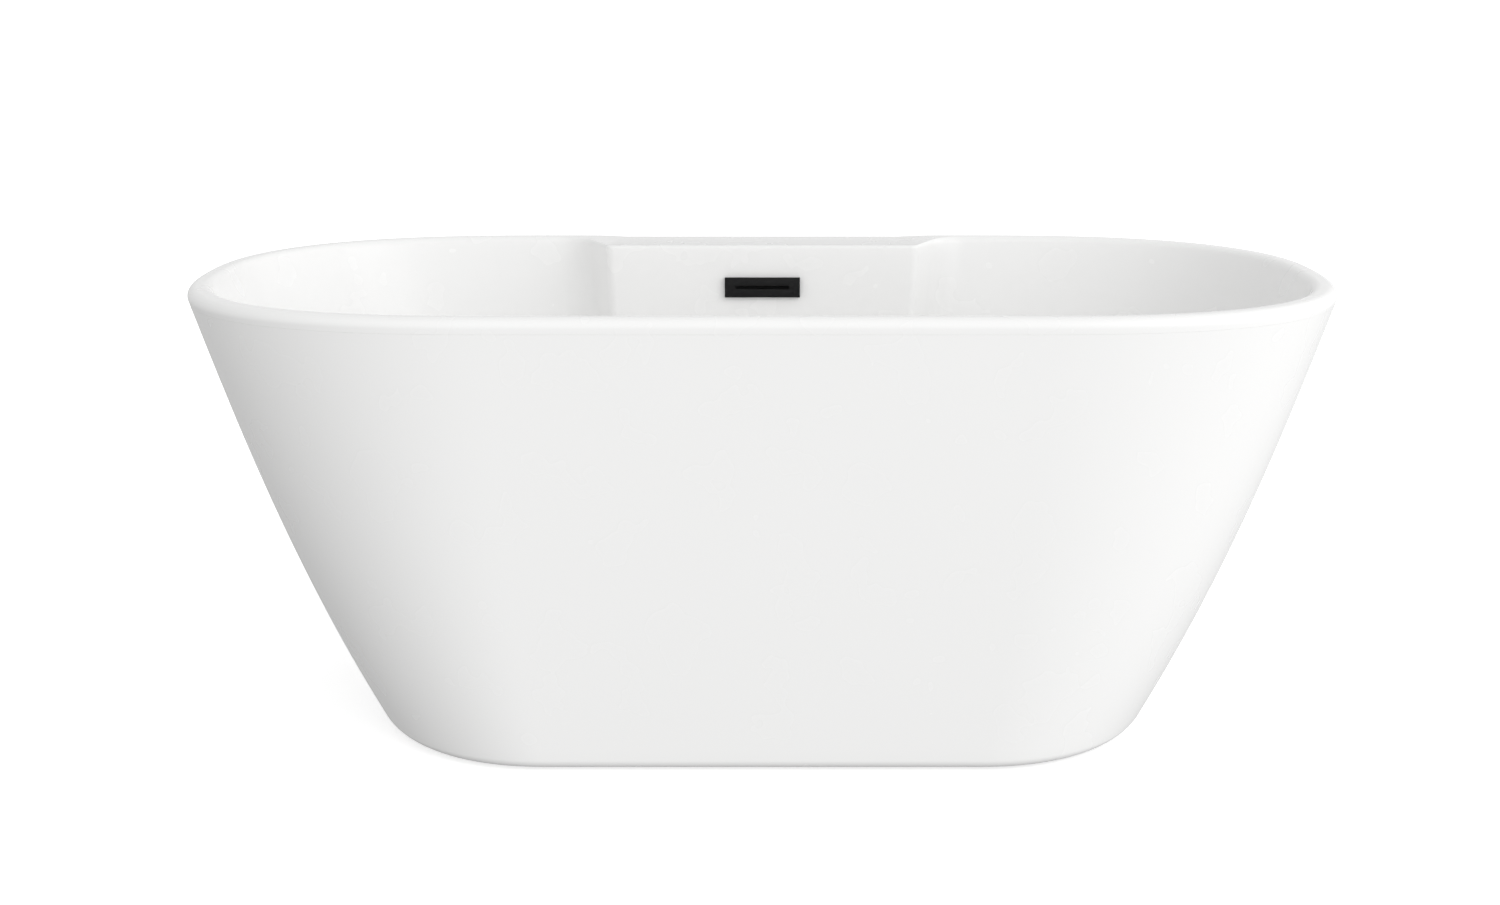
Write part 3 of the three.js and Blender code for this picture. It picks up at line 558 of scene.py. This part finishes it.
# A plain box or rod that only cuts; it never stays in the scene.
def cutter(size, place, turn=0.0, round=False):
    shape = bmesh.new()
    if round:
        bmesh.ops.create_cone(shape, cap_ends=True, segments=24, radius1=0.5, radius2=0.5, depth=1)
        bmesh.ops.rotate(shape, verts=shape.verts, matrix=Matrix.Rotation(math.pi / 2, 3, "X"))
    else:
        bmesh.ops.create_cube(shape, size=1)
    mesh = bpy.data.meshes.new("cutter")
    bmesh.ops.scale(shape, verts=shape.verts, vec=Vector(size) * mm)
    shape.to_mesh(mesh)
    shape.free()
    tool = bpy.data.objects.new("cutter", mesh)
    tool.matrix_world = Matrix.Translation(Vector(place) * mm) @ Matrix.Rotation(turn, 4, "X")
    scene.collection.objects.link(tool)
    return tool


overflow = {"z": 523, "wallSlot": (80, 12), "screwX": 46.5, "screwHole": 5.2}
overflow["y"] = basinLine(overflow["z"])["width"] - deckAt(overflow["z"])[0]
faceFall = (basinLine(shell["height"])["width"] - deckAt(shell["height"])[0]) - (
    basinLine(basin["floor"])["width"] - deckAt(basin["floor"])[0]
)
overflow["lean"] = math.atan(faceFall / (shell["height"] - basin["floor"]))
overflowMiddle = Vector((0, overflow["y"], overflow["z"]))
overflowPlace = Matrix.Translation(overflowMiddle) @ Matrix.Rotation(-overflow["lean"], 4, "X")


def onFace(x, y, z):
    return overflowPlace @ Vector((x, y, z))


def addBasin():
    piece = makeBasin()
    wide, high = overflow["wallSlot"]
    turn = -overflow["lean"]
    tools = [cutter((wide, 20, high), onFace(0, 0, 0), turn)]
    for side in (-1, 1):
        size = (overflow["screwHole"], 20, overflow["screwHole"])
        tools.append(cutter(size, onFace(side * overflow["screwX"], 0, 0), turn, True))
    cutPiece(piece, tools)
    standFor(piece, "basin")


addBasin()
print("basin made")


def addSkirt():
    stations = Stations(128, 4, 2, 12)
    wall, lift, edge = shell["wall"], shell["lift"], shell["footRadius"]
    top, foot = shell["lipFoot"] - shell["seam"], shell["lift"] + shell["footRadius"]
    plan = stations.points
    lean = leanOf(plan(shell["rim"]), plan(shellLine(shell["rimLevel"] - 10)), 10)

    def ring(z, inset=0.0):
        return plan(insetLine(shellLine(z), inset - tangentShift(lean, z)), z=z)

    def footRings(radius, start, steps):
        angles = np.linspace(0, math.pi / 2, steps)
        return [ring(foot - radius * math.sin(a), start + radius * (1 - math.cos(a))) for a in angles]

    outer = [ring(lift, shell["footFlange"])] + footRings(edge, 0, 15)[::-1]
    outer += [ring(z) for z in np.linspace(foot, top, 42)[1:]]
    inner = [ring(top, shell["topFlange"]), ring(top - wall, shell["topFlange"])]
    inner += [ring(z, wall) for z in np.linspace(top - wall, foot, 16)]
    inner += footRings(edge - wall, wall, 6)[1:]
    inner += [ring(lift + wall, shell["footFlange"])]
    rings = outer + inner
    faces = loftFaces(len(rings), stations.count)
    finish = [finishes["white_acrylic"], backing]
    piece = makeMesh("skirtShell", np.concatenate(rings), faces, finish, 30, len(outer) * stations.count)
    standFor(piece, "skirt")


addSkirt()
print("skirt made")


# Fittings. A shape is built in millimetres and then stands for its CAD node.
def finishShape(shape, node, place, smoothAngle=38):
    bmesh.ops.remove_doubles(shape, verts=shape.verts, dist=0.0005)
    bmesh.ops.recalc_face_normals(shape, faces=shape.faces)
    shape.transform(Matrix.Scale(mm, 4) @ place)
    mesh = bpy.data.meshes.new(node + "Shape")
    shape.to_mesh(mesh)
    shape.free()
    mesh.materials.append(finishes[nodeSlots[node]])
    mesh.shade_smooth()
    mesh.set_sharp_from_angle(angle=math.radians(smoothAngle))
    piece = bpy.data.objects.new(node + "Shape", mesh)
    scene.collection.objects.link(piece)
    return standFor(piece, node)


def roundOutline(outline, edge, steps=3):
    soft = []
    for at, corner in enumerate(outline):
        corner = np.array(corner, float)
        before = np.array(outline[at - 1], float) - corner
        after = np.array(outline[(at + 1) % len(outline)], float) - corner
        back = min(edge, 0.4 * np.linalg.norm(before), 0.4 * np.linalg.norm(after))
        if corner[0] == 0:
            back = 0
        start = corner + before / np.linalg.norm(before) * back
        end = corner + after / np.linalg.norm(after) * back
        for step in np.linspace(0, 1, steps + 1 if back else 1):
            soft.append(mix(mix(start, corner, step), mix(corner, end, step), step))
    return soft


def addRings(shape, rings, closed=True):
    rows = [[shape.verts.new(Vector(point)) for point in ring] for ring in rings]
    around = len(rows[0])
    for face in loftFaces(len(rows) - (0 if closed else 1), around):
        corners = [rows[(index // around) % len(rows)][index % around] for index in face]
        shape.faces.new(corners)
    if not closed:
        shape.faces.new(rows[0][::-1])
        shape.faces.new(rows[-1])


# A closed outline of (radius, height) pairs, its corners rounded, spun round an upright axis.
def addTurned(shape, outline, edge=0.4, around=96):
    angles = np.linspace(0, 2 * math.pi, around, endpoint=False)
    rings = [[(r * math.cos(a), r * math.sin(a), z) for a in angles] for r, z in roundOutline(outline, edge)]
    addRings(shape, rings)


def addBlock(shape, size, place):
    made = bmesh.ops.create_cube(shape, size=1)
    matrix = Matrix.Translation(Vector(place)) @ Matrix.Diagonal(Vector((*size, 1)))
    bmesh.ops.transform(shape, verts=made["verts"], matrix=matrix)


corners = ("front_left", "front_right", "back_left", "back_right")
wastePlace = Matrix.Translation(Vector((0, basin["drainY"], 0)))


def footPlace(corner):
    low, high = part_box("foot_pad_" + corner)
    return Matrix.Translation(Vector(((low.x + high.x) / 2, (low.y + high.y) / 2, 0)) / mm)


def addDrainFlange():
    flange = {"radius": 34, "low": 144.3, "height": 2.8, "body": 24, "bore": 21, "foot": 118}
    spider = {"top": 126, "height": 5, "hub": 11, "hole": 7.3, "arm": 4}
    shape = bmesh.new()
    low, top = flange["low"], flange["low"] + flange["height"]
    addTurned(shape, [
        (flange["bore"], flange["foot"]), (flange["body"], flange["foot"]), (flange["body"], low),
        (flange["radius"], low), (flange["radius"], low + 1.4), (flange["radius"] - 1.6, top),
        (flange["body"] + 3, top), (flange["bore"], low + 0.4),
    ], 0.9)
    foot = spider["top"] - spider["height"]
    addTurned(shape, [
        (spider["hole"], foot), (spider["hub"], foot),
        (spider["hub"], spider["top"]), (spider["hole"], spider["top"]),
    ])
    reach = flange["bore"] + 1 - spider["hub"] + 1
    middle = spider["hub"] - 1 + reach / 2
    for x, y in ((1, 0), (-1, 0), (0, 1), (0, -1)):
        size = (reach if x else spider["arm"], reach if y else spider["arm"], spider["height"] - 0.2)
        addBlock(shape, size, (x * middle, y * middle, spider["top"] - spider["height"] / 2))
    finishShape(shape, "drain_flange", wastePlace)


def addPlug():
    cap = {"low": 150, "radius": 31.5, "crown": 20, "socket": 3.4, "boss": 6.5, "bossDrop": 4.6}
    low, radius, bossFoot = cap["low"], cap["radius"], cap["low"] - cap["bossDrop"]
    shape = bmesh.new()
    addTurned(shape, [
        (cap["socket"], bossFoot), (cap["boss"], bossFoot), (cap["boss"], low),
        (radius - 1, low), (radius, low + 0.8), (radius - 1.5, low + 2.4),
        (cap["crown"], low + 3.2), (0, low + 3.6), (0, low - 0.4), (cap["socket"], low - 0.4),
    ], 1.1)
    finishShape(shape, "plug_cap", wastePlace)
    seal = {"inner": 21.5, "outer": 28, "low": 147.6, "high": 149.7}
    shape = bmesh.new()
    addTurned(shape, [
        (seal["inner"], seal["low"]), (seal["outer"], seal["low"]),
        (seal["outer"], seal["high"]), (seal["inner"], seal["high"]),
    ], 0.9)
    finishShape(shape, "plug_seal", wastePlace)


def addFootPad(corner):
    pad = {"radius": 25, "rim": 4, "floor": 7, "hub": 12, "height": 17.7, "bore": 5.3}
    shape = bmesh.new()
    addTurned(shape, [
        (0, 0), (pad["radius"], 0), (pad["radius"], pad["rim"]), (pad["radius"] - 2, pad["floor"]),
        (pad["hub"] + 1, pad["floor"] + 2), (pad["hub"], pad["height"]), (pad["bore"], pad["height"]),
        (pad["bore"], pad["floor"]), (0, pad["floor"]),
    ], 1.2)
    finishShape(shape, "foot_pad_" + corner, footPlace(corner))


# A levelling stem: a pin, a hexagonal collar and a shank with a rolled thread.
def addFootStem(corner):
    stem = {"radius": 5.7, "root": 4.85, "top": 116, "pin": 5, "pinFoot": 7.3, "pinTop": 19, "pitch": 1.75}
    collar = {"foot": 18, "height": 5, "flats": 17}
    shape = bmesh.new()
    collarTop = collar["foot"] + collar["height"]
    pin = [
        (0, stem["pinFoot"]), (stem["pin"], stem["pinFoot"]),
        (stem["pin"], stem["pinTop"]), (0, stem["pinTop"]),
    ]
    addTurned(shape, pin, 0.5, 32)
    hexRadius = collar["flats"] / 2 / math.cos(math.pi / 6)
    hexAngles = [math.radians(30 + 60 * side) for side in range(6)]
    levels = [(hexRadius - 0.5, collar["foot"]), (hexRadius, collar["foot"] + 0.5)]
    levels += [(hexRadius, collarTop - 0.5), (hexRadius - 0.5, collarTop)]
    addRings(shape, [[(r * math.cos(a), r * math.sin(a), z) for a in hexAngles] for r, z in levels], False)
    angles = np.linspace(0, 2 * math.pi, 28, endpoint=False)
    foot = collarTop - 0.5
    rings = []
    for z in np.linspace(foot, stem["top"], int((stem["top"] - foot) / stem["pitch"] * 6)):
        wave = np.abs(((z / stem["pitch"] - angles / (2 * math.pi)) % 1) * 2 - 1)
        runOut = np.clip(min(z - foot, stem["top"] - z) / 2, 0, 1)
        radii = mix(stem["root"], mix(stem["root"], stem["radius"], np.clip(wave * 1.25, 0, 1)), runOut)
        rings.append([(r * math.cos(a), r * math.sin(a), z) for r, a in zip(radii, angles)])
    addRings(shape, rings, False)
    finishShape(shape, "foot_stem_" + corner, footPlace(corner), 50)


# The overflow hose runs down beside the deck, bends forward and goes in under the rail. It is ribbed.
def addOverflowPipe():
    hose = {
        "radius": 13.95, "groove": 1.5, "pitch": 5.2, "bore": 11.6, "level": 78, "bend": 56,
        "plain": 24, "ringStep": 0.65,
    }
    spigot = {"y": 32.9, "z": -41, "grip": 16, "end": basin["drainY"] + 30}
    lean = overflow["lean"]
    mouth = np.array(onFace(0, spigot["y"], spigot["z"]))
    down = np.array((0, -math.sin(lean), -math.cos(lean)))
    forward = np.array((0, -1.0, 0))
    start = mouth - down * spigot["grip"]
    corner = mouth + down * (mouth[2] - hose["level"]) / math.cos(lean)
    bendStart, bendEnd = corner - down * hose["bend"], corner + forward * hose["bend"]
    end = np.array((0, spigot["end"], hose["level"]))
    straight = [mix(start, bendStart, step) for step in np.linspace(0, 1, 60, endpoint=False)]
    steps = np.linspace(0, 1, 40, endpoint=False)
    curve = [mix(mix(bendStart, corner, step), mix(corner, bendEnd, step), step) for step in steps]
    path = np.array(straight + curve + [mix(bendEnd, end, step) for step in np.linspace(0, 1, 20)])
    along = np.concatenate([[0], np.cumsum(np.linalg.norm(np.diff(path, axis=0), axis=1))])
    angles = np.linspace(0, 2 * math.pi, 44, endpoint=False)

    def ringAt(distance, radius):
        middle, ahead, behind = (
            np.array([np.interp(distance + shift, along, path[:, axis]) for axis in range(3)])
            for shift in (0, 0.5, -0.5)
        )
        tangent = (ahead - behind) / np.linalg.norm(ahead - behind)
        sideways = np.array((1.0, 0, 0))
        outward = np.cross(tangent, sideways)
        return [tuple(middle + radius * (math.cos(a) * sideways + math.sin(a) * outward)) for a in angles]

    def radiusAt(distance):
        fromEnd = min(distance, along[-1] - distance)
        ribbed = min(max((fromEnd - hose["plain"]) / 4, 0), 1)
        groove = 0.5 - 0.5 * math.cos(2 * math.pi * distance / hose["pitch"])
        return hose["radius"] - hose["groove"] * ribbed * groove ** 1.5

    shape = bmesh.new()
    length = along[-1]
    outside = [ringAt(at, radiusAt(at)) for at in np.linspace(0, length, int(length / hose["ringStep"]))]
    inside = [ringAt(at, hose["bore"]) for at in np.linspace(length, 0, 90)]
    addRings(shape, outside + inside)
    finishShape(shape, "overflow_pipe", Matrix.Identity(4), 60)


# Pressed, cut and moulded fittings keep their CAD form, with each sharp edge rounded off.
def softenEdges(node, width, steps=2):
    shape = bmesh.new()
    shape.from_mesh(frame["nodes"][node].data)
    shape.transform(Matrix.Scale(1 / mm, 4))
    bmesh.ops.remove_doubles(shape, verts=shape.verts, dist=0.002)
    bmesh.ops.dissolve_limit(shape, angle_limit=math.radians(1), verts=shape.verts, edges=shape.edges)
    sharp = [e for e in shape.edges if len(e.link_faces) == 2 and e.calc_face_angle(0) > math.radians(32)]
    bmesh.ops.bevel(
        shape, geom=sharp, offset=width, offset_type="OFFSET", segments=steps,
        profile=0.5, affect="EDGES", clamp_overlap=True,
    )
    finishShape(shape, node, Matrix.Identity(4))


edgeWidths = {
    "base_board": 0.6, "rail": 0.9, "cross": 0.9, "skirt_bracket": 0.5, "overflow_body": 0.8,
    "overflow_cover": 0.45, "overflow_screw": 0.25, "overflow_plate": 0.3, "foot_nut": 0.5,
    "foot_lock": 0.4, "tail_nut": 0.4, "pipe_nut": 0.4,
    "bracket_bolt": 0.35, "waste_shoe": 0.4, "plug_sleeve": 0.2, "plug_plunger": 0.2, "plug_spring": 0.02,
    "drain_gasket": 0.3, "overflow_gasket": 0.3, "tail_washer": 0.2, "tailpiece": 0.3,
}


def addFittings():
    addDrainFlange()
    addPlug()
    for corner in corners:
        addFootPad(corner)
        addFootStem(corner)
    addOverflowPipe()
    for node in frame["nodes"]:
        for start, width in edgeWidths.items():
            if node.startswith(start):
                softenEdges(node, width)


addFittings()
print("fittings made")


# Stage, light and camera. Only the camera sees the floor and its pale walls: they don't light the tub.
def makeFloor():
    stage = {"size": 240.0, "wall": 90.0, "white": (0.93, 0.93, 0.93, 1), "glow": 0.42}
    mesh = bpy.data.meshes.new("studioFloor")
    half = stage["size"] / 2
    plan = [(-half, -half), (half, -half), (half, half), (-half, half)]
    points = [(x, y, z) for z in (0, stage["wall"]) for x, y in plan]
    walls = [(side, side + 4, (side + 1) % 4 + 4, (side + 1) % 4) for side in range(4)]
    mesh.from_pydata(points, [], [(0, 1, 2, 3), *walls])
    finish = Finish("paleFloor")
    finish.set({
        "Base Color": stage["white"], "Roughness": 0.9,
        "Emission Color": (1, 1, 1, 1), "Emission Strength": stage["glow"],
    })
    mesh.materials.append(finish.material)
    floor = bpy.data.objects.new("studioFloor", mesh)
    floor.visible_diffuse = False
    floor.visible_glossy = False
    floor.visible_shadow = False
    scene.collection.objects.link(floor)


# The room is a soft dome of broad glows: each has a direction, a strength and a tightness.
# The one from low on the right stands in for the light that a white floor would send back up.
def makeRoom():
    glows = [
        ((0, -1, 0.15), 1.17, 2), ((0, 1, 0.15), 0.76, 2), ((1, 0, 0.15), 1.33, 2), ((-1, 0, 0.15), 0.59, 2),
        ((0.7, -0.2, -0.7), 0.27, 2), ((0, 0, 1), 0.49, 2),
    ]
    world = bpy.data.worlds.new("studioRoom")
    scene.world = world
    world.use_nodes = True
    world.node_tree.nodes.clear()
    room = Graph(world.node_tree)
    direction = room.make("ShaderNodeTexCoord", {}, {}, "Generated")
    light = 0.0
    for towards, strength, tightness in glows:
        facing = room.make(
            "ShaderNodeVectorMath", {"operation": "DOT_PRODUCT"},
            {0: direction, 1: Vector(towards).normalized()}, "Value",
        )
        lit = facing.maths("MAXIMUM", facing, 0.0)
        light = light + strength * lit ** tightness
    background = room.make("ShaderNodeBackground", {}, {"Color": light})
    room.make("ShaderNodeOutputWorld", {}, {"Surface": background}, output=None)


def addSoftBox(name, place, target, size, power):
    light = bpy.data.lights.new(name, "AREA")
    light.shape = "RECTANGLE"
    light.size, light.size_y = size
    light.energy = power
    lamp = bpy.data.objects.new(name, light)
    lamp.location = place
    lamp.rotation_euler = (Vector(target) - Vector(place)).to_track_quat("-Z", "Y").to_euler()
    scene.collection.objects.link(lamp)


def makeCamera():
    view = {"distance": 2.78, "height": 1.001, "lens": 50.04, "shiftX": -0.0082, "shiftY": 0.0199}
    data = bpy.data.cameras.new("camera")
    data.sensor_width = 36
    data.lens = view["lens"]
    data.shift_x = view["shiftX"]
    data.shift_y = view["shiftY"]
    data.clip_end = 200
    camera = bpy.data.objects.new("camera", data)
    pitch = math.atan2(view["height"] - shell["height"] * mm / 2, view["distance"])
    camera.location = (0, -view["distance"], view["height"])
    camera.rotation_euler = (math.pi / 2 - pitch, 0, 0)
    scene.collection.objects.link(camera)
    scene.camera = camera


keyLight = {"place": (2.6, -2.2, 2.4), "target": (0, 0, 0.3), "size": (2.4, 2.4), "power": 15.7}
makeFloor()
makeRoom()
addSoftBox("keyLight", **keyLight)
makeCamera()
scene.view_settings.view_transform = "Standard"
print("stage, lights and camera made")
